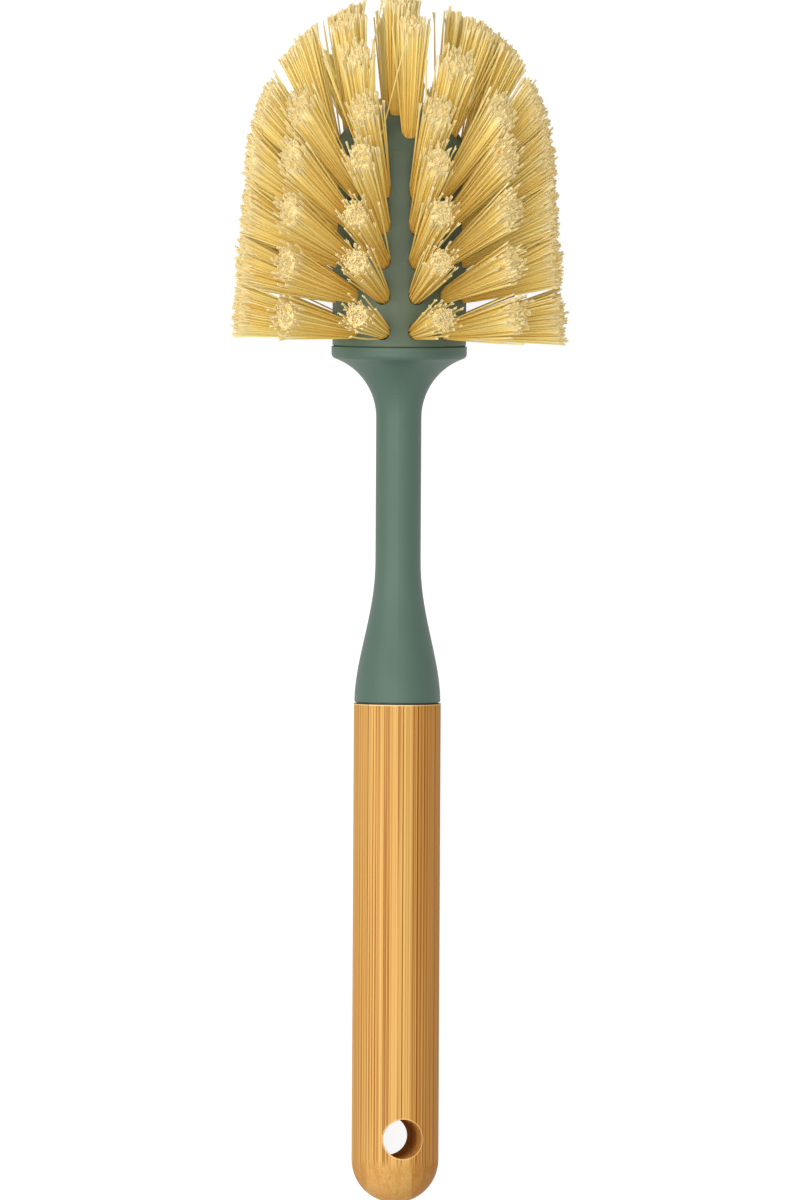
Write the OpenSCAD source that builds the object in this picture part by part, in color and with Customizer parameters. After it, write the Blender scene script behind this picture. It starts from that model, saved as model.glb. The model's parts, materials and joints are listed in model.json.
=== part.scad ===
// Bamboo dish brush. A round bamboo rod carries a moulded neck, the neck carries a
// moulded core, and each blind hole of the core holds one tuft of plant fibre over a
// flat metal anchor. Lengths are in millimetres and angles in degrees.
// Every piece is drawn upright on the brush's own axis, with the butt of the rod at
// the origin and the upper face towards +X. lay_down() then lays the brush as it comes
// to rest, on the dome of the butt and on the lowest tufts.

/* [Rod] */
// Diameter of the bamboo rod
rod_d = 20.3; // [18:0.1:24]
// Length of the bamboo rod with its domed butt
rod_l = 116.7; // [90:0.5:150]
// Small bevel on the rod's top edge
rod_edge = 0.3; // [0.1:0.05:0.6]
// Diameter of the hanging hole
hang_d = 9.2; // [6:0.1:10]
// Distance of the hanging hole from the butt
hang_z = 15.3; // [12:0.1:30]
// Turn of the hanging hole about the rod, away from the upper face
hang_turn = 11; // [0:0.5:20]

/* [Neck] */
// Length of the neck from the rod to the top of its flange
neck_l = 83.3; // [75:0.1:110]
// Diameter of the neck's waist
waist_d = 10.6; // [9:0.1:13]
// Height of the flared foot that meets the rod
foot_h = 33.3; // [20:0.1:40]
// How far the foot's rim stands in from the rod's side
foot_step = 0.1; // [0:0.05:0.5]
// Radius of the foot's lower edge
foot_edge = 0.4; // [0.1:0.05:0.8]
// Diameter of the face on which the foot sits on the rod
seat_d = 18; // [12:0.1:18]
// Height of the shadow gap round that face
seat_gap = 0.25; // [0.05:0.05:0.4]
// How early the foot narrows: 1 is an even curve, less is earlier
foot_bias = 0.9; // [0.8:0.01:1.2]
// Radius of the hollow curve under the flange
throat_r = 14.6; // [9:0.1:16]
// Radius of the flange's lower edge
lip_r = 1.2; // [1:0.1:3]
// Height of the flange's upright rim
rim_h = 1.7; // [0.8:0.1:4]
// How far the flange stands out from the core's side
rim_step = 0.2; // [0:0.05:0.8]
// Diameter of the tang inside the rod
tang_d = 9; // [7:0.1:11]
// Length of the tang inside the rod
tang_l = 24; // [15:0.5:40]
// Bevel on the tang's tip and on the boss
spigot_edge = 0.6; // [0.2:0.1:1]
// Diameter of the boss inside the core
boss_d = 10; // [8:0.1:11]
// Length of the boss inside the core
boss_l = 9; // [6:0.1:14]
// Clearance round the tang and the boss
spigot_fit = 0.1; // [0.05:0.05:0.3]
// Room beyond the tip of the tang and of the boss
spigot_room = 0.5; // [0.2:0.1:2]

/* [Core] */
// Diameter of the core
core_d = 31.2; // [30:0.1:36]
// Height of the core's straight side
side_h = 43.3; // [41:0.1:50]
// Height of the core's domed top
dome_h = 13.1; // [11:0.1:16]
// Bevel on the core's lower edge
core_edge = 0.4; // [0.1:0.05:0.8]
// Diameter of a tuft hole
hole_d = 4; // [3.4:0.1:4.2]
// Depth of a tuft hole along its axis
hole_l = 6.5; // [5.5:0.1:6.8]

/* [Tufts] */
// Tufts round the core in each row of its side
columns = 12; // [8:1:12]
// Rows of tufts on the core's side
side_rows = 5; // [3:1:5]
// Height of the first row above the core's foot
row_z = 3.9; // [3.6:0.1:5]
// Height from one row of the side to the next
row_pitch = 8.3; // [7.6:0.1:8.6]
// Rise of the first row's tufts
first_rise = 10; // [5:0.5:15]
// Added rise from one row to the next
rise_step = 9.2; // [7:0.1:10]
// Width of a side tuft at its tip
tip_d = 10.3; // [7:0.1:11]
// How far the crown's rows sit in from the core's side
crown_in = [0.2, 3, 8.6]; // [0.1:0.1:9]
// Rise of the tufts in the crown's rows
crown_rise = [64, 80, 88]; // [50:0.5:90]
// Tufts in the crown's rows
crown_count = [6, 6, 2]; // [2:1:6]
// Turn of the crown's rows from the upper face
crown_turn = [30, 9.6, 174]; // [0:0.1:180]
// Width of a crown tuft at its tip
crown_tip_d = [8.8, 7.4, 6.6]; // [6:0.1:10]
// Number of flutes round a tuft
flutes = 8; // [6:1:9]
// Depth of a flute as a part of the tuft's radius
flute_cut = 0.16; // [0.05:0.01:0.3]
// Clearance between a tuft and its hole
tuft_fit = 0.1; // [0.05:0.05:0.3]

/* [Trimmed shape of the head] */
// Diameter at the lower edge of the trimmed head
trim_foot_d = 79.2; // [76:0.1:90]
// Diameter where the trimmed side turns into the trimmed dome
trim_top_d = 73.2; // [70:0.1:80]
// Height of that turn above the core's foot
trim_z = 39.9; // [36:0.1:44]
// Height of the trimmed dome above that turn
trim_h = 41.5; // [38:0.1:48]

/* [Anchors] */
// Thickness of an anchor
anchor_t = 0.5; // [0.3:0.05:0.7]
// Height of an anchor along the hole
anchor_h = 1.8; // [1.2:0.1:2.2]
// Distance of an anchor from the bottom of its hole
anchor_up = 1; // [0.6:0.1:1.6]
// Clearance between an anchor and the fibres or the hole
anchor_fit = 0.15; // [0.05:0.05:0.25]

/* [Hidden] */
$fn = 96;

bamboo_colour = [0.87, 0.68, 0.4];
plastic_colour = [0.42, 0.5, 0.44];
fibre_colour = [0.9, 0.76, 0.46];
anchor_colour = [0.7, 0.7, 0.68];

curve_steps = 16;
through = 1;

rod_r = rod_d / 2;
waist_r = waist_d / 2;
foot_r = rod_r - foot_step;
foot_bottom = seat_gap + foot_edge;
seat_r = seat_d / 2;
core_r = core_d / 2;
rim_r = core_r + rim_step;
tang_r = tang_d / 2;
boss_r = boss_d / 2;
hole_r = hole_d / 2;
core_z = rod_l + neck_l;

// Where the hollow curve under the flange starts, and the angle at which the lip takes over
throat_end = acos((waist_r + throat_r + lip_r - rim_r) / (throat_r + lip_r));
lip_z = neck_l - rim_h;
throat_z = lip_z - (throat_r + lip_r) * sin(throat_end);

// One entry for each row, from the flange to the crown
rows = side_rows + len(crown_in);
side_list = [for (i = [0:1:side_rows - 1]) i];
crown_list = [for (i = [0:1:len(crown_in) - 1]) i];
row_base = concat([for (i = side_list) [core_r, row_z + i * row_pitch]],
  [for (i = crown_list) [core_r - crown_in[i], dome_at(core_r - crown_in[i])]]);
row_rise = concat([for (i = side_list) first_rise + i * rise_step], crown_rise);
row_count = concat([for (i = side_list) columns], crown_count);
row_turn = concat([for (i = side_list) 180 / columns], crown_turn);
row_tip_r = concat([for (i = side_list) tip_d / 2], crown_tip_d / 2);

// Slope of the trimmed side, and the sides of a fluted tuft
trim_r = trim_top_d / 2;
trim_slope = (trim_foot_d - trim_top_d) / 2 / trim_z;
strands = 2 * flutes;

// Height of the core's top at a given radius
function dome_at(r) = side_h + dome_h * sqrt(1 - pow(r / core_r, 2));

// Rise of the core's surface normal at a row
function normal_rise(i) = let (up = row_base[i][1] - side_h)
  up > 0 ? atan2(up / pow(dome_h, 2), row_base[i][0] / pow(core_r, 2)) : 0;

// Length along a tuft over which the core still stands beside it
function collar(i) = hole_r * tan(abs(row_rise[i] - normal_rise(i))) + tuft_fit;

// Steps along a line from b in direction d to the trimmed dome and to the trimmed side
function to_dome(b, d) = let (
    r2 = trim_r * trim_r,
    h2 = trim_h * trim_h,
    z = b.z - trim_z,
    qa = (d.x * d.x + d.y * d.y) / r2 + d.z * d.z / h2,
    qb = (b.x * d.x + b.y * d.y) / r2 + z * d.z / h2,
    qc = (b.x * b.x + b.y * b.y) / r2 + z * z / h2 - 1)
  (sqrt(qb * qb - qa * qc) - qb) / qa;
function to_side(b, d) = let (
    g = trim_r + trim_slope * (trim_z - b.z),
    qa = d.x * d.x + d.y * d.y - pow(trim_slope * d.z, 2),
    qb = b.x * d.x + b.y * d.y + g * trim_slope * d.z,
    qc = b.x * b.x + b.y * b.y - g * g)
  (sqrt(qb * qb - qa * qc) - qb) / qa;
function trimmed(b, d) = let (t = to_dome(b, d))
  b + (b.z + t * d.z >= trim_z ? t : to_side(b, d)) * d;

// A point of row i beside its tuft's axis: s along the axis, r out from it at angle a
function beside(i, s, r, a) = let (e = row_rise[i])
  [row_base[i][0], 0, row_base[i][1]] + s * [cos(e), 0, sin(e)]
  + r * [cos(a) * sin(e), sin(a), -cos(a) * cos(e)];
function tuft_axis(i) = [cos(row_rise[i]), 0, sin(row_rise[i])];
function tip_centre(i) = trimmed(beside(i, 0, 0, 0), tuft_axis(i));
function tuft_l(i) = norm(tip_centre(i) - beside(i, 0, 0, 0));
function fluted(j) = j % 2 == 0 ? 1 : 1 - flute_cut;
function foot_ring(i, s) = [for (j = [0:strands - 1])
  beside(i, s, (hole_r - tuft_fit) * fluted(j), j * 360 / strands)];
function tip_ring(i) = [for (j = [0:strands - 1]) let (
    a = j * 360 / strands,
    b = beside(i, collar(i), (hole_r - tuft_fit) * fluted(j), a),
    t = beside(i, tuft_l(i), row_tip_r[i] * fluted(j), a))
  trimmed(b, t - b)];

// Every point where a tuft may touch the table, on the brush's own axis
function turned(p, a) = [p.x * cos(a) - p.y * sin(a), p.x * sin(a) + p.y * cos(a), p.z + core_z];
tip_points = [for (i = [0:rows - 1], p = tip_ring(i), k = [0:row_count[i] - 1])
  turned(p, row_turn[i] + k * 360 / row_count[i])];

// Pitch at which a point below the axis and the butt's dome touch the table together
function pitch_for(p) = let (along = p.z - rod_r)
  atan2(-p.x, along) - asin(rod_r / norm([p.x, along]));
rest_pitch = max([for (p = tip_points) if (p.x < 0) pitch_for(p)]);
rest_lift = rod_r * (1 - sin(rest_pitch));
far_end = max([for (p = tip_points) p.z * cos(rest_pitch) - p.x * sin(rest_pitch)]);
butt_end = rod_r * (cos(rest_pitch) - 1);

// Lays the brush down with its upper face up and its head towards +X
module lay_down() {
  translate([-(far_end + butt_end) / 2, 0, rest_lift])
    rotate([0, 90 - rest_pitch, 0])
      rotate([0, 0, 180])
        children();
}

// Moves to the mouth of tuft k in row i, with +Z along the tuft
module at_tuft(i, k) {
  rotate([0, 0, row_turn[i] + k * 360 / row_count[i]])
    translate([row_base[i][0], 0, row_base[i][1]])
      rotate([0, 90 - row_rise[i], 0])
        children();
}

// A spigot with a bevelled tip that points along +Z
module spigot(r, h) {
  cylinder(r = r, h = h - spigot_edge);
  translate([0, 0, h - spigot_edge])
    cylinder(r1 = r, r2 = r - spigot_edge, h = spigot_edge);
}

module handle() {
  color(bamboo_colour)
    lay_down()
      difference() {
        union() {
          translate([0, 0, rod_r]) {
            sphere(r = rod_r);
            cylinder(r = rod_r, h = rod_l - rod_r - rod_edge);
          }
          translate([0, 0, rod_l - rod_edge])
            cylinder(r1 = rod_r, r2 = rod_r - rod_edge, h = rod_edge);
        }
        translate([0, 0, hang_z])
          rotate([0, 90, hang_turn])
            cylinder(d = hang_d, h = rod_d + 2 * through, center = true);
        translate([0, 0, rod_l - tang_l - spigot_room])
          cylinder(r = tang_r + spigot_fit, h = tang_l + spigot_room + through);
      }
}

// Outline of the neck from its foot to the top of its flange
function neck_outline() = concat(
  [[0, 0], [seat_r, 0], [seat_r, seat_gap]],
  [for (k = [0:4]) let (a = -90 + k * 90 / 4)
    [foot_r - foot_edge + foot_edge * cos(a), foot_bottom + foot_edge * sin(a)]],
  [for (k = [1:curve_steps]) let (u = k / curve_steps)
    [waist_r + (foot_r - waist_r) * pow(cos(90 * pow(u, foot_bias)), 2),
      foot_bottom + u * (foot_h - foot_bottom)]],
  [for (k = [0:curve_steps]) let (a = k * throat_end / curve_steps)
    [waist_r + throat_r * (1 - cos(a)), throat_z + throat_r * sin(a)]],
  [for (k = [1:6]) let (a = -throat_end * (1 - k / 6))
    [rim_r - lip_r + lip_r * cos(a), lip_z + lip_r * sin(a)]],
  [[rim_r, neck_l], [0, neck_l]]);

module neck() {
  color(plastic_colour)
    lay_down()
      translate([0, 0, rod_l]) {
        rotate_extrude() polygon(neck_outline());
        mirror([0, 0, 1]) spigot(tang_r, tang_l);
        translate([0, 0, neck_l]) spigot(boss_r, boss_l);
      }
}

// Outline of the core from its lower edge over the dome
function core_outline() = concat(
  [[0, 0], [core_r - core_edge, 0], [core_r, core_edge]],
  [for (k = [0:curve_steps]) let (a = k * 90 / curve_steps)
    [core_r * cos(a), side_h + dome_h * sin(a)]]);

module head_core() {
  color(plastic_colour)
    lay_down()
      translate([0, 0, core_z])
        difference() {
          rotate_extrude() polygon(core_outline());
          translate([0, 0, -through])
            cylinder(r = boss_r + spigot_fit, h = boss_l + spigot_room + through);
          for (i = [0:rows - 1], k = [0:row_count[i] - 1])
            at_tuft(i, k)
              translate([0, 0, -hole_l])
                cylinder(r = hole_r, h = hole_l + collar(i) + through);
        }
}

// An anchor, or its slot in the fibres when grown by a clearance
module anchor(grow, w) {
  translate([0, 0, anchor_up + anchor_h / 2 - hole_l])
    cube([anchor_t + 2 * grow, w, anchor_h + 2 * grow], center = true);
}

// The tuft of row i on the +X side: a fluted bundle that spreads and ends on the trimmed shape
module tuft(i) {
  n = strands;
  points = concat(foot_ring(i, tuft_fit - hole_l), foot_ring(i, collar(i)), tip_ring(i),
    [tip_centre(i)]);
  sides = [for (s = [0, n], j = [0:n - 1], half = [0, 1]) let (q = (j + 1) % n)
    half == 0 ? [s + j, s + n + j, s + n + q] : [s + j, s + n + q, s + q]];
  cap = [for (j = [0:n - 1]) [3 * n, 2 * n + (j + 1) % n, 2 * n + j]];
  polyhedron(points, concat([[for (j = [0:n - 1]) j]], sides, cap), convexity = 4);
}

// A row of tufts, each with the slot that its anchor passes through
module tuft_row(i) {
  color(fibre_colour)
    lay_down()
      translate([0, 0, core_z])
        for (k = [0:row_count[i] - 1])
          difference() {
            rotate([0, 0, row_turn[i] + k * 360 / row_count[i]]) tuft(i);
            at_tuft(i, k) anchor(anchor_fit, hole_d + 2 * through);
          }
}

module tuft_row_1() { tuft_row(0); }
module tuft_row_2() { tuft_row(1); }
module tuft_row_3() { tuft_row(2); }
module tuft_row_4() { tuft_row(3); }
module tuft_row_5() { tuft_row(4); }
module tuft_row_6() { tuft_row(5); }
module tuft_row_7() { tuft_row(6); }
module tuft_row_8() { tuft_row(7); }

module tuft_anchors() {
  color(anchor_colour)
    lay_down()
      translate([0, 0, core_z])
        for (i = [0:rows - 1], k = [0:row_count[i] - 1])
          at_tuft(i, k) anchor(0, hole_d - 2 * anchor_fit);
}

handle();
neck();
head_core();
tuft_row_1();
tuft_row_2();
tuft_row_3();
tuft_row_4();
tuft_row_5();
tuft_row_6();
tuft_row_7();
tuft_row_8();
tuft_anchors();
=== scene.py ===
# Bamboo dish brush, dressed over its fixed frame
import json
import math

import bpy
import numpy as np
from mathutils import Matrix, Vector


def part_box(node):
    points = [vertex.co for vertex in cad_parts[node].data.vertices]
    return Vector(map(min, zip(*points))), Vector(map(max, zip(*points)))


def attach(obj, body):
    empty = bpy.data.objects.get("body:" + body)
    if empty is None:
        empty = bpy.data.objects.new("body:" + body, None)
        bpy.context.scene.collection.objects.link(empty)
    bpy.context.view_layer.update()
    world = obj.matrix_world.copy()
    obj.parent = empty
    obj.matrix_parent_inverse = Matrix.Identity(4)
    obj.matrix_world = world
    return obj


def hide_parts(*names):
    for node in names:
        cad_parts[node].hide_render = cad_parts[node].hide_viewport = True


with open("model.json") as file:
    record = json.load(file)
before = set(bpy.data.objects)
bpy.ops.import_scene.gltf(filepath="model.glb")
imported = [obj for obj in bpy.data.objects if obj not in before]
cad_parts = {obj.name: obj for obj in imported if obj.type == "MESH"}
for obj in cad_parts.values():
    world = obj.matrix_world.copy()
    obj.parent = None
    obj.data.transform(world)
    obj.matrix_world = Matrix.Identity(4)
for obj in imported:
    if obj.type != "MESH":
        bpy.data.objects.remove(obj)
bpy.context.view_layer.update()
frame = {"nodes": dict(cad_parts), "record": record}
nodes = frame["nodes"]
print("frame loaded with", len(nodes), "nodes")


# The brush's own axes: out of its upper face, to its side and along it to the head
hangHole = frame["record"]["mounts"][0]
holeAxis = Vector(hangHole["axis"])
pitch = math.atan2(-holeAxis.x, holeAxis.z)
holeTurn = math.asin(-holeAxis.y)
faceWay = Vector((-math.sin(pitch), 0, math.cos(pitch)))
sideWay = Vector((0, -1, 0))
alongWay = Vector((math.cos(pitch), 0, math.sin(pitch)))

rodLow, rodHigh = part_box("handle")
rodRadius = (rodHigh.y - rodLow.y) / 2
buttCentre = Vector((rodLow.x + rodRadius, 0, rodLow.z + rodRadius))
buttTip = buttCentre - alongWay * rodRadius
brushTurn = Matrix((faceWay, sideWay, alongWay)).transposed()
brushPlace = Matrix.Translation(buttTip) @ brushTurn.to_4x4()
holeRadius = hangHole["dims"]["r_mm"] / 1000
holeAlong = (brushPlace.inverted() @ Vector(hangHole["pos_m"])).z
rodLength = 0.1167      # metres, as in the solids
neckLength = 0.0833
print("hole at", round(holeAlong, 5), "from the butt, radius", round(holeRadius, 5))


def clearSelection():
    if bpy.context.object and bpy.context.object.mode != "OBJECT":
        bpy.ops.object.mode_set(mode="OBJECT")
    bpy.ops.object.select_all(action="DESELECT")


def makeActive(piece):
    clearSelection()
    piece.select_set(True)
    bpy.context.view_layer.objects.active = piece


def layOnBrush(piece):
    # a piece is modelled upright on the brush's own axis, and its mesh is then laid in place
    piece.data.transform(brushPlace @ piece.matrix_world)
    piece.matrix_world = Matrix.Identity(4)
    piece.data.update()


def linear(red, green, blue):
    # a colour as it looks, 0 to 255, in the linear values that a shader takes
    def one(c):
        c = c / 255
        return c / 12.92 if c <= 0.04045 else ((c + 0.055) / 1.055) ** 2.4
    return (one(red), one(green), one(blue), 1)


# Camera
cameraPlan = {
    "distance": 8.0,       # metres from the brush's axis
    "frameHeight": 0.28,   # metres of brush in the height of the picture
    "sensor": 36,          # millimetres, for the same height
    "farthest": 20,        # metres
    "aimAlong": 0.1408,    # aimed point, from the butt along the axis
    "aimSide": 0.0005,
    "headTilt": 2.0,       # degrees towards the head end
    "roll": -0.3,
}


def makeCamera(plan):
    tilt = math.radians(plan["headTilt"])
    back = faceWay * math.cos(tilt) + alongWay * math.sin(tilt)
    up = alongWay * math.cos(tilt) - faceWay * math.sin(tilt)
    right = up.cross(back)
    roll = math.radians(plan["roll"])
    up, right = (up * math.cos(roll) + right * math.sin(roll),
                 right * math.cos(roll) - up * math.sin(roll))
    aim = buttTip + alongWay * plan["aimAlong"] + sideWay * plan["aimSide"]
    bpy.ops.object.camera_add(location=aim + back * plan["distance"])
    camera = bpy.context.object
    camera.name = "camera"
    camera.rotation_euler = Matrix((right, up, back)).transposed().to_euler()
    camera.data.sensor_width = plan["sensor"]
    camera.data.lens = plan["sensor"] * plan["distance"] / plan["frameHeight"]
    camera.data.clip_end = plan["farthest"]
    bpy.context.scene.camera = camera


makeCamera(cameraPlan)
print("camera placed")


# Materials
def link(tree, source, target):
    tree.links.new(source, target)


def newMaterial(name, look):
    material = bpy.data.materials.new(name)
    material.use_nodes = True
    tree = material.node_tree
    tree.nodes.clear()
    output = tree.nodes.new("ShaderNodeOutputMaterial")
    shader = tree.nodes.new("ShaderNodeBsdfPrincipled")
    shader.inputs["Roughness"].default_value = look["roughness"]
    shader.inputs["Specular IOR Level"].default_value = look["shine"]
    link(tree, shader.outputs[0], output.inputs[0])
    return material, tree, shader


def brushCoordinates(tree):
    # object coordinates turned to the brush's own axes, in metres from the butt
    place = tree.nodes.new("ShaderNodeTexCoord")
    turn = tree.nodes.new("ShaderNodeMapping")
    back = brushPlace.inverted()
    turn.inputs["Location"].default_value = back.to_translation()
    turn.inputs["Rotation"].default_value = back.to_euler()
    link(tree, place.outputs["Object"], turn.inputs["Vector"])
    return turn.outputs[0]


def splitAxes(tree, place):
    # how far a point lies out of the upper face, to the side and along the brush
    split = tree.nodes.new("ShaderNodeSeparateXYZ")
    link(tree, place, split.inputs[0])
    return tuple(split.outputs)


def stretched(tree, vector, across, along, detail):
    # noise with its own scale across the brush and along it
    scale = tree.nodes.new("ShaderNodeMapping")
    scale.inputs["Scale"].default_value = (across, across, along)
    link(tree, vector, scale.inputs["Vector"])
    noise = tree.nodes.new("ShaderNodeTexNoise")
    noise.inputs["Scale"].default_value = 1
    noise.inputs["Detail"].default_value = detail
    link(tree, scale.outputs[0], noise.inputs["Vector"])
    return noise.outputs[0]


def ramp(tree, factor, stops, blend="LINEAR"):
    node = tree.nodes.new("ShaderNodeValToRGB")
    bar = node.color_ramp
    bar.interpolation = blend
    bar.elements[0].position, bar.elements[0].color = stops[0]
    bar.elements[1].position, bar.elements[1].color = stops[-1]
    for place, colour in stops[1:-1]:
        bar.elements.new(place).color = colour
    link(tree, factor, node.inputs[0])
    return node.outputs[0]


def mixColour(tree, factor, first, second, blend="MIX"):
    node = tree.nodes.new("ShaderNodeMix")
    node.data_type = "RGBA"
    node.blend_type = blend
    for socket, value in ((0, factor), (6, first), (7, second)):
        if isinstance(value, bpy.types.NodeSocket):
            link(tree, value, node.inputs[socket])
        else:
            node.inputs[socket].default_value = value
    return node.outputs[2]


def grey(level):
    return (level, level, level, 1)


def moved(tree, vector, amount):
    node = tree.nodes.new("ShaderNodeVectorMath")
    node.operation = "ADD"
    link(tree, vector, node.inputs[0])
    if isinstance(amount, bpy.types.NodeSocket):
        link(tree, amount, node.inputs[1])
    else:
        node.inputs[1].default_value = amount
    return node.outputs[0]


def share(tree, value, low, high):
    # where a value lies between two others, 0 to 1
    node = tree.nodes.new("ShaderNodeMapRange")
    node.inputs["From Min"].default_value = low
    node.inputs["From Max"].default_value = high
    link(tree, value, node.inputs["Value"])
    return node.outputs[0]


def times(tree, first, second):
    node = tree.nodes.new("ShaderNodeMath")
    node.operation = "MULTIPLY"
    link(tree, first, node.inputs[0])
    link(tree, second, node.inputs[1])
    return node.outputs[0]


def spots(tree, vector, dimensions, number, size, full, strength):
    # a spot in each irregular cell: its size is a share of the cell, and it is full in its middle
    cells = tree.nodes.new("ShaderNodeTexVoronoi")
    cells.voronoi_dimensions = dimensions
    cells.inputs["Scale"].default_value = number
    link(tree, vector, cells.inputs["Vector"])
    return ramp(tree, cells.outputs["Distance"], [(size * full, grey(strength)), (size, grey(0))])


def addRelief(tree, shader, height, strength, depth=0.0001):
    bump = tree.nodes.new("ShaderNodeBump")
    bump.inputs["Strength"].default_value = strength
    bump.inputs["Distance"].default_value = depth
    link(tree, height, bump.inputs["Height"])
    link(tree, bump.outputs[0], shader.inputs["Normal"])


bambooLook = {
    "body": linear(233, 187, 111),
    "shade": linear(227, 177, 100),       # broad darker bands
    "bands": (420, 3, 1.0),               # noise: number across and along a metre, and detail
    "bandStops": (0.36, 0.56),
    "fibreDark": linear(238, 226, 208),   # finer bands and fibres, as shares of the body
    "fibreLight": linear(255, 255, 255),
    # their noise, where it turns from dark to light, and strength: the last also gives the relief
    "grains": [((1300, 4, 1.0), (0.4, 0.5), 0.35), ((3600, 7, 0.0), (0.4, 0.52), 0.5)],
    "relief": 0.25,
    # bundles of fibres: shift, number in a metre, size as a share of a cell, strength and colour
    "bundles": [(2.9, 1500, 0.26, 0.5, "paleLine"), (1.7, 2900, 0.3, 0.6, "line"),
                (0.3, 1650, 0.28, 1.0, "line"), (4.1, 1150, 0.18, 1.0, "line")],
    "bundleFull": 0.6,
    "line": linear(160, 100, 42),
    "paleLine": linear(246, 208, 138),
    "faint": [(0.35, grey(0.3)), (0.6, grey(1))],    # the lines fade and come back along the rod
    "faintAlong": 16,
    "sideFrom": (0.0085, 0.0105),         # the lines start here, from the butt
    "dotsTo": (0.0095, 0.0085),           # and below here the fibres show their ends as dots
    "dots": (1500, 0.3, 0.5, 0.5),        # number in a metre, size, full middle and strength
    "dot": linear(248, 214, 150),
    "endGrain": linear(236, 229, 226),    # the dome, as a share of the body
    # the strips glued side by side: left edge of each as a share of the rod's width, and tone
    "strips": [(0.0, linear(240, 230, 218)), (0.17, linear(255, 252, 250)), (0.5, linear(252, 250, 244)),
               (0.688, linear(232, 214, 196)), (0.82, linear(226, 206, 186))],
    "jointStrips": (1, 3, 4),             # strips whose left joint shows
    "joint": ((-0.008, 0), (-0.003, 0.85), (0.002, 0)),    # place from the edge, and strength
    "glueAndGapShade": linear(110, 72, 34),          # dark glue in the joints, and painted shade on the end under the neck, in the gap there
    "topEdgeHighlight": linear(252, 222, 160),     # painted highlight on the rod's bevelled top edge
    "ends": [("topEdgeHighlight", 0.0004, 0.0002), ("glueAndGapShade", 0.0001, 0.00005)],    # how far under the top
    "wallShadeDeep": linear(214, 190, 164),  # the hole's wall deep in, darker as painted shade, as a share of the body
    "wallShadeNear": linear(255, 250, 240),
    "drilled": (-0.005, 0.006),           # painted shade in the hole, from deep to near, out of the upper face
    "wallTo": 0.08,                       # millimetres outside the hole
    "rim": linear(250, 212, 146),         # painted highlight on the hole's softened rim
    "rimHighlightBand": ((0.06, 0), (0.12, 0.7), (0.2, 0.7), (0.34, 0)),    # millimetres, and strength
    "roughness": 0.5,
    "shine": 0.06,
    "shineFrom": 0.1,                     # millimetres outside the hole, whose wall is dull
}


def bambooGrain(tree, look, own):
    # broad bands, finer ones and single fibres along each strip
    bands = stretched(tree, own, *look["bands"])
    low, high = look["bandStops"]
    colour = ramp(tree, bands, [(low, look["shade"]), (high, look["body"])])
    for grain, (low, high), amount in look["grains"]:
        noise = stretched(tree, own, *grain)
        tone = ramp(tree, noise, [(low, look["fibreDark"]), (high, look["fibreLight"])])
        colour = mixColour(tree, amount, colour, tone, "MULTIPLY")
    return colour, noise


def bambooLines(tree, look, colour, own, onSide):
    # the bundles are dots across a strip, so they run as crisp lines along it, now faint, now clear
    for shift, number, size, strength, tone in look["bundles"]:
        vector = moved(tree, own, (shift, shift, 0))
        lines = spots(tree, vector, "2D", number, size, look["bundleFull"], strength)
        clear = ramp(tree, stretched(tree, vector, number, look["faintAlong"], 0.0), look["faint"])
        colour = mixColour(tree, times(tree, times(tree, lines, clear), onSide), colour, look[tone])
    return colour


def bambooEnds(tree, look, colour, place, along, onSide):
    # the dome shows the ends of the fibres; the top edge is pale, a painted highlight on its bevel, and
    # the end under the neck is dark, painted shade in the gap there
    onDome = share(tree, along, *look["dotsTo"])
    dots = times(tree, spots(tree, place, "3D", *look["dots"]), onDome)
    colour = mixColour(tree, dots, colour, look["dot"])
    dome = mixColour(tree, onSide, look["endGrain"], grey(1))
    colour = mixColour(tree, 1.0, colour, dome, "MULTIPLY")
    for tone, low, high in look["ends"]:
        reached = share(tree, along, rodLength - low, rodLength - high)
        colour = mixColour(tree, reached, colour, look[tone])
    return colour


def bambooStrips(tree, look, colour, width, onSide):
    # each strip has its own tone, and dark glue shows in some of the joints
    strips = ramp(tree, width, look["strips"], "CONSTANT")
    colour = mixColour(tree, 1.0, colour, strips, "MULTIPLY")
    joints = []
    for strip in look["jointStrips"]:
        edge = look["strips"][strip][0]
        joints += [(edge + step, grey(strength)) for step, strength in look["joint"]]
    return mixColour(tree, times(tree, ramp(tree, width, joints), onSide), colour, look["glueAndGapShade"])


def outsideHole(tree, place):
    # how far a point lies outside the drilled hole, in millimetres up to one
    bore = tree.nodes.new("ShaderNodeMapping")
    bore.vector_type = "TEXTURE"
    bore.inputs["Location"].default_value = (0, 0, holeAlong)
    bore.inputs["Rotation"].default_value = (0, 0, holeTurn)
    # this scale flattens the place along the hole's axis
    bore.inputs["Scale"].default_value = (1000000, 1, 1)
    link(tree, place, bore.inputs["Vector"])
    fromAxis = tree.nodes.new("ShaderNodeVectorMath")
    fromAxis.operation = "LENGTH"
    link(tree, bore.outputs[0], fromAxis.inputs[0])
    return share(tree, fromAxis.outputs["Value"], holeRadius, holeRadius + 0.001)


def bambooHole(tree, look, colour, outside, outOfFace):
    # the drilled wall darkens away from the upper face, painted shade deeper in the hole, and its rim is
    # pale, a painted highlight on its softened edge
    depth = share(tree, outOfFace, *look["drilled"])
    paintedWallShade = ramp(tree, depth, [(0.0, look["wallShadeDeep"]), (1.0, look["wallShadeNear"])])
    inHole = ramp(tree, outside, [(0.0, grey(1)), (look["wallTo"], grey(0))])
    colour = mixColour(tree, 1.0, colour, mixColour(tree, inHole, grey(1), paintedWallShade), "MULTIPLY")
    # the pale band round the hole is a painted highlight on its softened edge
    onRimHighlight = ramp(tree, outside, [(step, grey(strength)) for step, strength in look["rimHighlightBand"]])
    return mixColour(tree, onRimHighlight, colour, look["rim"])


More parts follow.
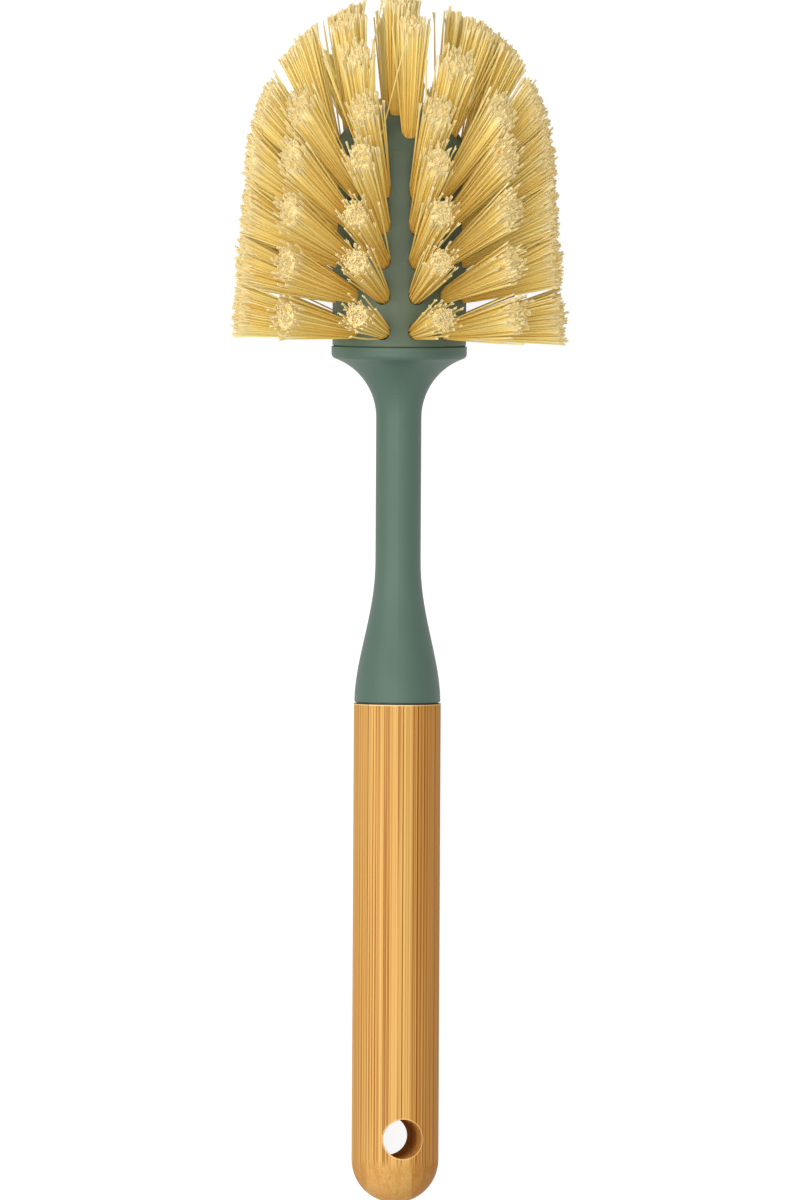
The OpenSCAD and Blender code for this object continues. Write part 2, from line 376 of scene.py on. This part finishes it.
def makeBamboo(look):
    material, tree, shader = newMaterial("turnedBamboo", look)
    place = brushCoordinates(tree)
    outOfFace, toSide, along = splitAxes(tree, place)
    width = share(tree, toSide, -rodRadius, rodRadius)
    onSide = share(tree, along, *look["sideFrom"])
    outside = outsideHole(tree, place)
    # each strip keeps its own fibres, moved along by its number
    strips = look["strips"]
    number = ramp(tree, width, [(s[0], grey(i / len(strips))) for i, s in enumerate(strips)], "CONSTANT")
    own = moved(tree, place, number)
    colour, fine = bambooGrain(tree, look, own)
    colour = bambooLines(tree, look, colour, own, onSide)
    colour = bambooEnds(tree, look, colour, place, along, onSide)
    colour = bambooStrips(tree, look, colour, width, onSide)
    colour = bambooHole(tree, look, colour, outside, outOfFace)
    link(tree, colour, shader.inputs["Base Color"])
    shine = ramp(tree, outside, [(0.0, grey(0)), (look["shineFrom"], grey(look["shine"]))])
    link(tree, shine, shader.inputs["Specular IOR Level"])
    addRelief(tree, shader, fine, look["relief"])
    return material


plasticLook = {
    "base": linear(83, 107, 93),
    "deep": linear(79, 103, 89),
    "core": linear(89, 106, 86),        # the core, a little warmer than the neck: painted warm light bounced from the fibres
    "coreDeep": 0.86,                   # its darker clouds, as a share
    "coreFade": 0.0001,
    "cloud": (90, 60, 3.0),
    "cloudStops": (0.35, 0.65),
    "grain": (2600, 2600, 2.0),
    "relief": 0.12,
    "roughness": 0.5,
    "shine": 0.35,
}


def makePlastic(look):
    material, tree, shader = newMaterial("satinGreenPlastic", look)
    place = brushCoordinates(tree)
    along = splitAxes(tree, place)[2]
    cloud = stretched(tree, place, *look["cloud"])
    low, high = look["cloudStops"]
    neck = ramp(tree, cloud, [(low, look["deep"]), (high, look["base"])])
    core = ramp(tree, cloud, [(low, grey(look["coreDeep"])), (high, grey(1))])
    # the core's warmer tint is painted light bounced from the fibres
    core = mixColour(tree, 1.0, core, look["core"], "MULTIPLY")
    coreFoot = rodLength + neckLength
    inCore = share(tree, along, coreFoot, coreFoot + look["coreFade"])
    link(tree, mixColour(tree, inCore, neck, core), shader.inputs["Base Color"])
    addRelief(tree, shader, stretched(tree, place, *look["grain"]), look["relief"])
    return material


fibreLook = {
    "mouth": linear(250, 210, 112),     # painted shade inside its hole and where it leaves it
    "root": linear(255, 223, 122),
    "middle": linear(255, 231, 144),
    "outer": linear(254, 235, 156),
    "tip": linear(250, 236, 190),
    "length": [(0.0, "mouth"), (0.07, "mouth"), (0.1, "root"), (0.5, "middle"), (0.85, "outer"),
               (1.0, "tip")],
    "darkStrand": linear(246, 226, 176),
    "midStrand": linear(254, 250, 238),
    "paleStrand": linear(255, 255, 252),
    "tones": [(0.0, "darkStrand"), (0.3, "midStrand"), (1.0, "paleStrand")],
    "roughness": 0.7,
    "shine": 0.08,
}


def makeFibre(look):
    material, tree, shader = newMaterial("plantFibre", look)
    ramps = []
    for attribute, stops in (("fibreAlong", look["length"]), ("fibreTone", look["tones"])):
        reader = tree.nodes.new("ShaderNodeAttribute")
        reader.attribute_name = attribute
        ramps.append(ramp(tree, reader.outputs["Fac"], [(place, look[tone]) for place, tone in stops]))
    colour = mixColour(tree, 1.0, ramps[0], ramps[1], "MULTIPLY")
    link(tree, colour, shader.inputs["Base Color"])
    return material


anchorLook = {
    "dark": linear(176, 176, 172),
    "pale": linear(200, 200, 196),
    "cloud": (900, 200, 2.0),
    "cloudStops": (0.35, 0.65),
    "metal": 1,
    "roughness": 0.35,
    "shine": 0.5,
}


def makeAnchorMetal(look):
    material, tree, shader = newMaterial("anchorWire", look)
    cloud = stretched(tree, brushCoordinates(tree), *look["cloud"])
    low, high = look["cloudStops"]
    colour = ramp(tree, cloud, [(low, look["dark"]), (high, look["pale"])])
    link(tree, colour, shader.inputs["Base Color"])
    shader.inputs["Metallic"].default_value = look["metal"]
    return material


bamboo = makeBamboo(bambooLook)
plastic = makePlastic(plasticLook)
fibre = makeFibre(fibreLook)
anchorMetal = makeAnchorMetal(anchorLook)
print("materials made")

for name, material in (("neck", plastic), ("head_core", plastic), ("tuft_anchors", anchorMetal)):
    nodes[name].data.materials.clear()
    nodes[name].data.materials.append(material)
print("neck, core and anchors finished")


# Bamboo rod
rodPlan = {
    "length": rodLength,
    "domePoints": 19,
    "ringHeight": 0.0012,
    "softEdge": 0.00035,
    "softSteps": 3,
    "softAngle": 50,          # edges sharper than this are softened, in degrees
    "smoothAngle": 35,
    "socketRadius": 0.0046,
    "socketDepth": 0.0245,
    "sides": 120,
    "holeSides": 96,
}
joinDistance = 0.000002       # points of a turned outline nearer than this are joined, in metres


def turnOutline(name, outline, sides):
    # spins an outline of radius and height round the upright axis
    mesh = bpy.data.meshes.new(name)
    edges = [(i, i + 1) for i in range(len(outline) - 1)]
    mesh.from_pydata([(r, 0, z) for r, z in outline], edges, [])
    piece = bpy.data.objects.new(name, mesh)
    bpy.context.collection.objects.link(piece)
    makeActive(piece)
    bpy.ops.object.mode_set(mode="EDIT")
    bpy.ops.mesh.select_all(action="SELECT")
    bpy.ops.mesh.spin(steps=sides, angle=2 * math.pi, center=(0, 0, 0), axis=(0, 0, 1))
    bpy.ops.mesh.select_all(action="SELECT")
    bpy.ops.mesh.remove_doubles(threshold=joinDistance)
    bpy.ops.mesh.normals_make_consistent(inside=False)
    bpy.ops.object.mode_set(mode="OBJECT")
    return piece


def cutWith(piece, cutter):
    makeActive(piece)
    cut = piece.modifiers.new("cut", "BOOLEAN")
    cut.operation = "DIFFERENCE"
    cut.solver = "EXACT"
    cut.object = cutter
    bpy.ops.object.modifier_apply(modifier=cut.name)
    bpy.data.objects.remove(cutter)


def softenEdges(piece, width, segments, angle):
    makeActive(piece)
    bevel = piece.modifiers.new("soft", "BEVEL")
    bevel.width = width
    bevel.segments = segments
    bevel.limit_method = "ANGLE"
    bevel.angle_limit = math.radians(angle)
    bpy.ops.object.modifier_apply(modifier=bevel.name)


def smoothByAngle(piece, angle):
    makeActive(piece)
    bpy.ops.object.shade_smooth_by_angle(angle=math.radians(angle))


def makeRod(plan):
    dome = [(rodRadius * math.sin(a), rodRadius * (1 - math.cos(a)))
            for a in np.radians(np.linspace(0, 90, plan["domePoints"]))]
    rings = int((plan["length"] - rodRadius) / plan["ringHeight"])
    side = [(rodRadius, z) for z in np.linspace(rodRadius, plan["length"], rings)[1:]]
    top = [(plan["socketRadius"], plan["length"]),
           (plan["socketRadius"], plan["length"] - plan["socketDepth"]),
           (0, plan["length"] - plan["socketDepth"])]
    rod = turnOutline("bambooRod", dome + side + top, plan["sides"])
    clearSelection()
    bpy.ops.mesh.primitive_cylinder_add(
        vertices=plan["holeSides"], radius=holeRadius, depth=4 * rodRadius,
        location=(0, 0, holeAlong), rotation=(0, math.pi / 2, holeTurn))
    cutWith(rod, bpy.context.object)
    softenEdges(rod, plan["softEdge"], plan["softSteps"], plan["softAngle"])
    layOnBrush(rod)
    smoothByAngle(rod, plan["smoothAngle"])
    rod.data.materials.append(bamboo)
    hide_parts("handle")
    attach(rod, "root")


makeRod(rodPlan)
print("bamboo rod turned, drilled and softened")


# Tufts of plant fibre: the same rows, holes and trimmed shape as the solids
headPlan = {
    "foot": rodLength + neckLength,
    "coreRadius": 0.0156,
    "sideHeight": 0.0433,
    "domeHeight": 0.0131,
    "trimRadius": 0.0366,     # trimmed shape: a flared side under a dome
    "trimFoot": 0.0396,
    "trimZ": 0.0399,
    "trimHeight": 0.0415,
    "sideRows": 5,
    "rowZ": 0.0039,
    "rowPitch": 0.0083,
    "firstRise": 10,
    "riseStep": 9.2,
    "columns": 12,
    "tipRadius": 0.00515,
    "crownIn": (0.0002, 0.003, 0.0086),
    "crownRise": (64, 80, 88),
    "crownCount": (6, 6, 2),
    "crownTurn": (30, 9.6, 174),
    "crownTipRadius": (0.0044, 0.0037, 0.0033),
}
strandPlan = {
    "perTuft": 84,
    "sides": 6,
    "cuts": (0.25, 0.5, 0.75, 0.9),
    "radius": 0.00022,
    "radiusRange": (0.8, 1.15),
    "footShare": 0.72,        # thickness at the foot, where the strands are packed
    "fullFrom": 0.6,          # full thickness from here, along the strand
    "tipShare": 0.7,          # thickness at the cut end
    "bundleRadius": 0.00158,
    "sunk": 0.002,            # how far a strand starts inside its hole
    "turnRange": 0.15,        # chance turn of its place in the bundle, in radians
    "faceClose": 0.57,        # share of the flare that the close strands take, and flare along the
    "faceFlare": 1.0,         # brush: for the tufts of the face, and for those of the edges, which
    "edgeClose": 0.95,        # are pressed wider
    "edgeFlare": 1.3,
    "edgePower": 4,           # how late a tuft counts as one of an edge
    "openPower": 9,           # only the outer strands of a bundle open to the full flare
    "roundFlare": 0.95,
    "crownFlare": 1.15,
    "flareChance": 0.05,
    "aimChance": 0.06,        # chance turn of a cut end, in radians
    "sideLoose": (0.02, 1.1, 1.5),    # strands that stray out of a tuft: their share, and how far
    "crownLoose": (0.17, 1.2, 2.1),
    "lean": 0.0004,           # how far a tuft's tip leans by chance
    "leans": {                # by row and number in it: to the right and up the picture
        (0, 2): (0, -0.0015), (0, 3): (0, -0.0015), (0, 8): (0, 0.001), (0, 9): (0, 0.001),
        (5, 0): (-0.0005, -0.0026), (5, 1): (-0.001, 0.0003), (5, 2): (0.003, 0),
        (5, 3): (-0.0028, 0.0005), (5, 4): (0.0024, 0.0009), (5, 5): (0.0036, -0.0026),
        (6, 0): (0, -0.001), (6, 1): (0.0026, -0.0026), (6, 2): (0.0007, 0),
        (6, 4): (0.0034, 0.0013), (6, 5): (0.001, -0.003)},
    "bend": 0.00012,
    "kink": 0.0001,
    "kinkFrom": 0.97,         # the kink is at the cut end, from here along the strand
    "uneven": 0.0007,         # how much the cut ends vary in length
    "unevenLong": 0.7,        # share of it by which they may be longer
    "longShare": 0.18,        # some were missed by the trim, and stand out by up to this
    "longMost": 0.0012,
    "aboveTable": 0.0001,     # the lowest ends lie flat at this height
    "smoothAngle": 80,
    "seed": 4,
}
splitPlan = {                 # the fine ends into which each strand splits
    "perStrand": 4,
    "sides": 5,
    "cuts": (),
    "radius": 0.00012,
    "radiusRange": (0.8, 1.2),
    "from": 0.88,             # where they part, along the strand
    "splay": 0.0004,
    "uneven": 0.0005,
    "unevenRange": (-1, 0.5),
    "bendShare": 0.5,         # of the strands' kink
}
heartPlan = {                 # packed middle of a tuft, where single strands don't show
    "sides": 44,
    "cuts": (0.2, 0.4, 0.6, 0.8),
    "footShare": 0.9,
    "share": 0.5,
    "furrow": 0.12,           # depth of the furrows along it, as a share of its radius
    "short": 0.0006,
    "paleTo": 0.97,           # its cut end is coloured as a strand is here
    "toneTo": 0.6,            # its sides are as dark as these strands
}
anyTurn = 6.3                          # a chance turn goes up to just over a full one, in radians
goldenTurn = math.radians(137.508)     # spreads points evenly over a disc
openFoot = -0.9                        # a face that points down more than this closes the foot
nearZero = 1e-6                        # the least that a length is divided by


def rowPlan(plan, row):
    # a row's holes on the core, with their rise, number and first turn, and its tufts' tip radius
    radius = plan["coreRadius"]
    if row < plan["sideRows"]:
        return {"radius": radius, "height": plan["rowZ"] + row * plan["rowPitch"],
                "rise": plan["firstRise"] + row * plan["riseStep"], "count": plan["columns"],
                "first": 180 / plan["columns"], "tipRadius": plan["tipRadius"], "onSide": True}
    crown = row - plan["sideRows"]
    out = radius - plan["crownIn"][crown]
    height = plan["sideHeight"] + plan["domeHeight"] * math.sqrt(1 - (out / radius) ** 2)
    return {"radius": out, "height": height, "rise": plan["crownRise"][crown],
            "count": plan["crownCount"][crown], "first": plan["crownTurn"][crown],
            "tipRadius": plan["crownTipRadius"][crown], "onSide": False}


def lengthToTrim(plan, start, way):
    # steps from each start along its way to the trimmed dome, or to the flared side below it
    z = start[:, 2] - plan["trimZ"]
    r2, h2 = plan["trimRadius"] ** 2, plan["trimHeight"] ** 2
    qa = (way[:, 0] ** 2 + way[:, 1] ** 2) / r2 + way[:, 2] ** 2 / h2
    qb = (start[:, 0] * way[:, 0] + start[:, 1] * way[:, 1]) / r2 + z * way[:, 2] / h2
    qc = (start[:, 0] ** 2 + start[:, 1] ** 2) / r2 + z ** 2 / h2 - 1
    dome = (np.sqrt(qb ** 2 - qa * qc) - qb) / qa
    slope = (plan["trimFoot"] - plan["trimRadius"]) / plan["trimZ"]
    g = plan["trimRadius"] - slope * z
    qa = way[:, 0] ** 2 + way[:, 1] ** 2 - (slope * way[:, 2]) ** 2
    qb = start[:, 0] * way[:, 0] + start[:, 1] * way[:, 1] + g * slope * way[:, 2]
    qc = start[:, 0] ** 2 + start[:, 1] ** 2 - g ** 2
    qa = np.where(abs(qa) < nearZero, nearZero, qa)
    flared = (np.sqrt(np.maximum(qb ** 2 - qa * qc, 0)) - qb) / qa
    return np.where(z + dome * way[:, 2] >= 0, dome, flared)


def makeStrand(sides, cuts):
    # a strand a unit long and a unit in radius: a rod cut into rings, closed at its tip only
    clearSelection()
    bpy.ops.mesh.primitive_cylinder_add(
        vertices=sides, radius=1, depth=1, end_fill_type="TRIFAN", location=(0, 0, 0.5))
    strand = bpy.context.object
    strand.data.transform(strand.matrix_world)
    strand.matrix_world = Matrix.Identity(4)
    bpy.ops.object.mode_set(mode="EDIT")
    for height in cuts:
        bpy.ops.mesh.select_all(action="SELECT")
        bpy.ops.mesh.bisect(plane_co=(0, 0, height), plane_no=(0, 0, 1))
    bpy.ops.mesh.select_all(action="DESELECT")
    bpy.ops.object.mode_set(mode="OBJECT")
    for face in strand.data.polygons:
        face.select = face.normal.z < openFoot
    bpy.ops.object.mode_set(mode="EDIT")
    bpy.ops.mesh.delete(type="FACE")
    bpy.ops.object.mode_set(mode="OBJECT")
    return strand


def readMesh(piece):
    # points and faces of a shape, which is then taken away
    points = np.array([v.co for v in piece.data.vertices])
    faces = [tuple(f.vertices) for f in piece.data.polygons]
    bpy.data.objects.remove(piece)
    return points, faces


def tuftFrame(plan, holes, turn, lean):
    # a tuft's mouth, its way out, the two ways across it, and the middle and radius of its cut end
    rise, turn = math.radians(holes["rise"]), math.radians(turn)
    outWay = np.array((math.cos(turn), math.sin(turn), 0))
    upWay = np.array((0, 0, 1))
    axis = outWay * math.cos(rise) + upWay * math.sin(rise)
    mouth = outWay * holes["radius"] + upWay * holes["height"]
    reach = lengthToTrim(plan, mouth[None, :], axis[None, :])[0]
    return {"mouth": mouth, "axis": axis, "over": outWay * math.sin(rise) - upWay * math.cos(rise),
            "roundWay": np.array((-math.sin(turn), math.cos(turn), 0)), "sideways": math.sin(turn),
            "tip": mouth + axis * reach + lean, "tipRadius": holes["tipRadius"],
            "onSide": holes["onSide"]}


def across(tuft, radius, angle, overShare=1, roundShare=1):
    # offsets from a tuft's axis for lists of radii and angles
    return (tuft["over"] * overShare * (radius * np.cos(angle))[:, None]
            + tuft["roundWay"] * roundShare * (radius * np.sin(angle))[:, None])


def tuftSpread(strands, tuft):
    # share of the flare that the close strands take, and the flare along the brush
    edge = tuft["sideways"] ** strands["edgePower"]
    return (strands["faceClose"] + (strands["edgeClose"] - strands["faceClose"]) * edge,
            strands["faceFlare"] + (strands["edgeFlare"] - strands["faceFlare"]) * edge)


def layShape(shape, strands, tuft, start, end, thick, thin, bend, random):
    # one copy of the shape from each start to its end, slightly bowed, and kinked at its cut end
    number = len(start)
    bow = across(tuft, bend * random.normal(0, 1, number), random.uniform(0, anyTurn, number))
    kink = strands["kink"] * random.normal(0, 1, number)
    kink = across(tuft, kink, random.uniform(0, anyTurn, number))
    level = shape[:, 2]
    atEnd = level > strands["kinkFrom"]
    path = (start[:, None, :] + (end - start)[:, None, :] * level[None, :, None]
            + bow[:, None, :] * np.sin(math.pi * level)[None, :, None]
            + kink[:, None, :] * atEnd[None, :, None])
    out = (np.hypot(shape[:, 0], shape[:, 1]) * thin)[None, :] * thick[:, None]
    facing = np.arctan2(shape[:, 1], shape[:, 0])[None, :] + random.uniform(0, anyTurn, number)[:, None]
    path += (tuft["over"] * (out * np.cos(facing))[:, :, None]
             + tuft["roundWay"] * (out * np.sin(facing))[:, :, None])
    return path.reshape(-1, 3)


def strandEnds(plan, strands, tuft, random):
    # where each strand of a tuft starts in its hole, where it is cut, and its way
    number = strands["perTuft"]
    order = np.arange(number)
    spread = np.sqrt((order + 0.5) / number)
    angle = order * goldenTurn + random.uniform(-strands["turnRange"], strands["turnRange"], number)
    start = tuft["mouth"] - tuft["axis"] * strands["sunk"]
    start = start + across(tuft, strands["bundleRadius"] * spread, angle)
    # most strands stay close together, and the outer ones open to the full flare
    near, overFlare = tuftSpread(strands, tuft)
    tip = tuft["tipRadius"] * (near * spread + (1 - near) * spread ** strands["openPower"])
    tip *= 1 + random.normal(0, strands["flareChance"], number)
    loose, least, most = strands["sideLoose" if tuft["onSide"] else "crownLoose"]
    astray = random.uniform(0, 1, number) < loose
    tip *= np.where(astray, random.uniform(least, most, number), 1)
    roundFlare = strands["roundFlare" if tuft["onSide"] else "crownFlare"]
    facing = angle + random.normal(0, strands["aimChance"], number)
    way = tuft["tip"] + across(tuft, tip, facing, overFlare, roundFlare) - start
    unit = way / np.linalg.norm(way, axis=1)[:, None]
    uneven = strands["uneven"] * (strands["unevenLong"] - np.abs(random.normal(0, 1, number)))
    missed = random.uniform(0, 1, number) < strands["longShare"]
    uneven = np.where(missed, random.uniform(0, strands["longMost"], number), uneven)
    end = start + way * lengthToTrim(plan, start, way)[:, None] + unit * uneven[:, None]
    return start, end, unit


def growStrands(plan, strands, splits, shapes, tuft, random):
    # the points of one tuft's strands and split ends, where each lies along it, and its tone
    start, end, unit = strandEnds(plan, strands, tuft, random)
    number = strands["perTuft"]
    shape = shapes["strand"][0]
    level = shape[:, 2]
    thick = strands["radius"] * random.uniform(*strands["radiusRange"], number)
    thin = np.interp(level, (0, strands["fullFrom"], splits["from"], 1),
                     (strands["footShare"], 1, 1, strands["tipShare"]))
    tone = random.uniform(0, 1, number)
    shafts = layShape(shape, strands, tuft, start, end, thick, thin, strands["bend"], random)
    copies = splits["perStrand"]
    total = number * copies
    forks = np.repeat(start + (end - start) * splits["from"], copies, axis=0)
    splay = splits["splay"] * np.sqrt(random.uniform(0, 1, total))
    ends = np.repeat(end, copies, axis=0) + across(tuft, splay, random.uniform(0, anyTurn, total))
    uneven = splits["uneven"] * random.uniform(*splits["unevenRange"], total)
    ends += np.repeat(unit, copies, axis=0) * uneven[:, None]
    splitShape = shapes["split"][0]
    splitLevel = splitShape[:, 2]
    thick = splits["radius"] * random.uniform(*splits["radiusRange"], total)
    thin = np.ones(len(splitLevel))
    bend = strands["kink"] * splits["bendShare"]
    fine = layShape(splitShape, strands, tuft, forks, ends, thick, thin, bend, random)
    splitTone = random.uniform(0, 1, total)
    splitAlong = splits["from"] + (1 - splits["from"]) * splitLevel
    return (np.concatenate((shafts, fine)),
            np.concatenate((np.tile(level, number), np.tile(splitAlong, total))),
            np.concatenate((np.repeat(tone, len(level)), np.repeat(splitTone, len(splitLevel)))))


def growHeart(plan, strands, heart, shapes, tuft, random):
    # the packed middle of one tuft: it spreads with the close strands and ends below their tips
    shape = shapes["heart"][0]
    level = shape[:, 2]
    angle = np.arctan2(shape[:, 1], shape[:, 0])
    side = np.round(angle / (2 * math.pi) * heart["sides"]).astype(int) % heart["sides"]
    out = np.hypot(shape[:, 0], shape[:, 1]) * (1 - heart["furrow"] * (side % 2))
    near, overFlare = tuftSpread(strands, tuft)
    foot = across(tuft, strands["bundleRadius"] * heart["footShare"] * out, angle)
    overShare = overFlare * near / strands["faceClose"]
    tip = across(tuft, tuft["tipRadius"] * heart["share"] * out, angle, overShare)
    start = tuft["mouth"] - tuft["axis"] * strands["sunk"] + foot
    way = tuft["tip"] + tip - start
    unit = way / np.linalg.norm(way, axis=1)[:, None]
    end = start + way * lengthToTrim(plan, start, way)[:, None] - unit * heart["short"]
    return (start + (end - start) * level[:, None], level * heart["paleTo"],
            random.uniform(0, heart["toneTo"], heart["sides"])[side])


def rowFaces(strands, splits, shapes, count):
    # the faces of all the shapes of a row, in the order of their points
    oneTuft = ([shapes["strand"]] * strands["perTuft"]
               + [shapes["split"]] * (strands["perTuft"] * splits["perStrand"]) + [shapes["heart"]])
    faces, start = [], 0
    for points, sides in oneTuft * count:
        faces += [tuple(point + start for point in side) for side in sides]
        start += len(points)
    return faces


def makeTuftRow(plan, strands, splits, heart, shapes, row):
    random = np.random.RandomState(strands["seed"] + row)
    holes = rowPlan(plan, row)
    parts = []
    for number in range(holes["count"]):
        lean = random.normal(0, strands["lean"], 3)
        lean[1:] += strands["leans"].get((row, number), (0, 0))
        tuft = tuftFrame(plan, holes, holes["first"] + number * 360 / holes["count"], lean)
        parts.append(growStrands(plan, strands, splits, shapes, tuft, random))
        parts.append(growHeart(plan, strands, heart, shapes, tuft, random))
    points, level, tone = (np.concatenate(part) for part in zip(*parts))
    points = points + np.array((0, 0, plan["foot"]))
    place = np.array(brushPlace)
    points = points @ place[:3, :3].T + place[:3, 3]
    points[:, 2] = np.maximum(points[:, 2], strands["aboveTable"])
    name = "fibreRow" + str(row + 1)
    mesh = bpy.data.meshes.new(name)
    mesh.from_pydata(points.tolist(), [], rowFaces(strands, splits, shapes, holes["count"]))
    for attribute, values in (("fibreAlong", level), ("fibreTone", tone)):
        layer = mesh.attributes.new(attribute, "FLOAT", "POINT")
        layer.data.foreach_set("value", values.astype(np.float32))
    piece = bpy.data.objects.new(name, mesh)
    bpy.context.collection.objects.link(piece)
    smoothByAngle(piece, strands["smoothAngle"])
    piece.data.materials.append(fibre)
    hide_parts("tuft_row_" + str(row + 1))
    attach(piece, "root")


fibreShapes = {
    "strand": readMesh(makeStrand(strandPlan["sides"], strandPlan["cuts"])),
    "split": readMesh(makeStrand(splitPlan["sides"], splitPlan["cuts"])),
    "heart": readMesh(makeStrand(heartPlan["sides"], heartPlan["cuts"])),
}
for row in range(headPlan["sideRows"] + len(headPlan["crownRise"])):
    makeTuftRow(headPlan, strandPlan, splitPlan, heartPlan, fibreShapes, row)
print("tufts grown and trimmed")


# Table, lamps and surroundings
studioPlan = {
    # lamps: strength, way to it (out of the face, to the side and along the brush) and spread
    "keyLamp": (1.1, (0.74, -0.66, 0.12), 30),
    "frontLamp": (1.4, (0.99, -0.06, 0.04), 40),
    "skyStrength": 0.58,
    "tableSize": 6,
    "tableDrop": 0.0001,
    "tableTone": 0.6,
    "seenTone": 0.3,          # the table as the camera sees it: part its own light, part lit
    "seenGlow": 0.86,
}


def seesWhite(tree):
    # 1 for the camera, and for what it sees mirrored or through the piece
    ray = tree.nodes.new("ShaderNodeLightPath")
    total = ray.outputs["Is Camera Ray"]
    for kind in ("Is Glossy Ray", "Is Transmission Ray"):
        both = tree.nodes.new("ShaderNodeMath")
        both.operation = "ADD"
        both.use_clamp = True
        link(tree, total, both.inputs[0])
        link(tree, ray.outputs[kind], both.inputs[1])
        total = both.outputs[0]
    return total


def showApart(tree, lighting, seen, output):
    # the first shader lights the object, and the second is what the camera sees
    choose = tree.nodes.new("ShaderNodeMixShader")
    link(tree, seesWhite(tree), choose.inputs[0])
    link(tree, lighting.outputs[0], choose.inputs[1])
    link(tree, seen.outputs[0], choose.inputs[2])
    link(tree, choose.outputs[0], output.inputs[0])


def makeFloor(plan):
    clearSelection()
    bpy.ops.mesh.primitive_plane_add(size=plan["tableSize"], location=(0, 0, -plan["tableDrop"]))
    floor = bpy.context.object
    floor.name = "table"
    material = bpy.data.materials.new("paleTable")
    material.use_nodes = True
    tree = material.node_tree
    tree.nodes.clear()
    output = tree.nodes.new("ShaderNodeOutputMaterial")
    diffuse = tree.nodes.new("ShaderNodeBsdfDiffuse")
    diffuse.inputs["Color"].default_value = grey(plan["tableTone"])
    seenDiffuse = tree.nodes.new("ShaderNodeBsdfDiffuse")
    seenDiffuse.inputs["Color"].default_value = grey(plan["seenTone"])
    glow = tree.nodes.new("ShaderNodeEmission")
    glow.inputs["Strength"].default_value = plan["seenGlow"]
    both = tree.nodes.new("ShaderNodeAddShader")
    link(tree, seenDiffuse.outputs[0], both.inputs[0])
    link(tree, glow.outputs[0], both.inputs[1])
    showApart(tree, diffuse, both, output)
    floor.data.materials.append(material)


def addSun(name, strength, way, spread):
    towards = faceWay * way[0] + sideWay * way[1] + alongWay * way[2]
    bpy.ops.object.light_add(type="SUN", location=(0, 0, 1))
    lamp = bpy.context.object
    lamp.name = name
    lamp.data.energy = strength
    lamp.data.angle = math.radians(spread)
    lamp.rotation_euler = towards.to_track_quat("Z", "Y").to_euler()


def makeSky(plan):
    world = bpy.data.worlds.new("paleRoom")
    bpy.context.scene.world = world
    world.use_nodes = True
    tree = world.node_tree
    tree.nodes.clear()
    output = tree.nodes.new("ShaderNodeOutputWorld")
    soft = tree.nodes.new("ShaderNodeBackground")
    soft.inputs["Strength"].default_value = plan["skyStrength"]
    white = tree.nodes.new("ShaderNodeBackground")
    white.inputs["Strength"].default_value = 1
    showApart(tree, soft, white, output)


makeFloor(studioPlan)
addSun("keyLamp", *studioPlan["keyLamp"])
addSun("frontLamp", *studioPlan["frontLamp"])
makeSky(studioPlan)
bpy.context.scene.view_settings.view_transform = "Standard"
print("table and lamps placed")
